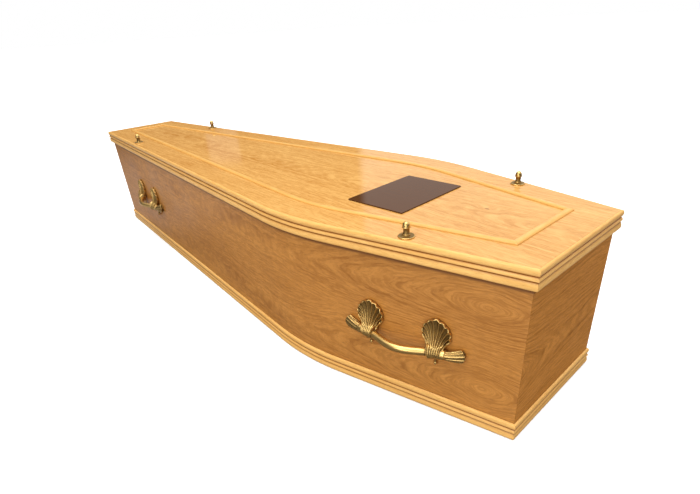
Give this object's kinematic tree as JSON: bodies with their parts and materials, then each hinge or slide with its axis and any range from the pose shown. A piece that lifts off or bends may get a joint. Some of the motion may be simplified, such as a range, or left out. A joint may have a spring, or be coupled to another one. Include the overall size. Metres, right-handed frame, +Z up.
{
  "type": "wooden coffin",
  "caption": "Closed shouldered wooden coffin with a flat lid, reeded edge mouldings, a plain metal name plate, brass screw caps on the lid and brass lifting handles on both long sides.",
  "frame": {"origin": "on the ground, under the middle of the box that bounds the coffin", "axes": "+X runs from the narrow foot end to the wide head end, +Z is up, +Y is the side that is the left of someone who looks from the foot end to the head end"},
  "size_m": [1.96, 0.5506, 0.4123],
  "materials": {
    "plain_board": "plain",
    "oak_board": "satin",
    "oak_veneer": "gloss",
    "pale_strip": "satin",
    "plate_metal": "gloss",
    "antique_brass": "satin"
  },
  "bodies": {
    "root": {"floor_board": "plain_board", "side_board_right": "oak_board", "side_board_left": "oak_board", "end_board_head": "oak_board", "end_board_foot": "oak_board", "base_moulding_right": "pale_strip", "base_moulding_left": "pale_strip", "base_moulding_head": "pale_strip", "base_moulding_foot": "pale_strip", "lid_board": "oak_veneer", "lid_moulding_right": "pale_strip", "lid_moulding_left": "pale_strip", "lid_moulding_head": "pale_strip", "lid_moulding_foot": "pale_strip", "lid_bead_right": "pale_strip", "lid_bead_left": "pale_strip", "lid_bead_head": "pale_strip", "lid_bead_foot": "pale_strip", "name_plate": "plate_metal", "finial_right_head": "antique_brass", "finial_left_head": "antique_brass", "finial_right_foot": "antique_brass", "finial_left_foot": "antique_brass", "handle_right_head": "antique_brass", "handle_right_foot": "antique_brass", "handle_left_head": "antique_brass", "handle_left_foot": "antique_brass"}
  },
  "joints": []
}
